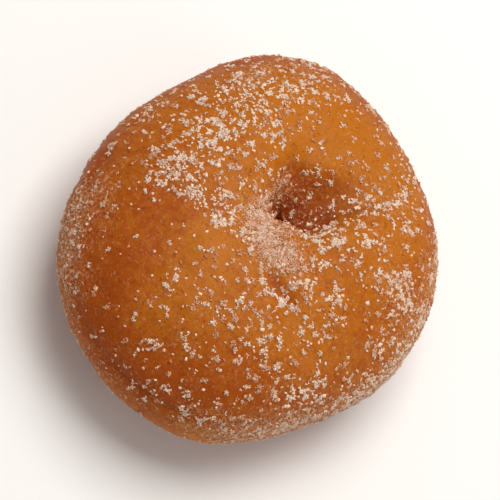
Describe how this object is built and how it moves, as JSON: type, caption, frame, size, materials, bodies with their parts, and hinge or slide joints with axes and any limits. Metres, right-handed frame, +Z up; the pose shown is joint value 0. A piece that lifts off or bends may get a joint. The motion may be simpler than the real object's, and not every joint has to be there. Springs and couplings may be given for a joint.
{
  "type": "cinnamon doughnut",
  "caption": "Fried ring doughnut lying flat, with a narrow off-centre hole, a folded crown and a coat of cinnamon sugar.",
  "frame": {"origin": "middle of the bounding box in plan, on the plane that the doughnut rests on", "axes": "+Z up through the hole, -Y towards the fat side of the ring, +Y towards its slim side"},
  "size_m": [0.0776, 0.0868, 0.0369],
  "materials": {
    "crust": "satin",
    "sugar": "matte"
  },
  "bodies": {
    "root": {"doughnut": "crust"}
  },
  "joints": []
}
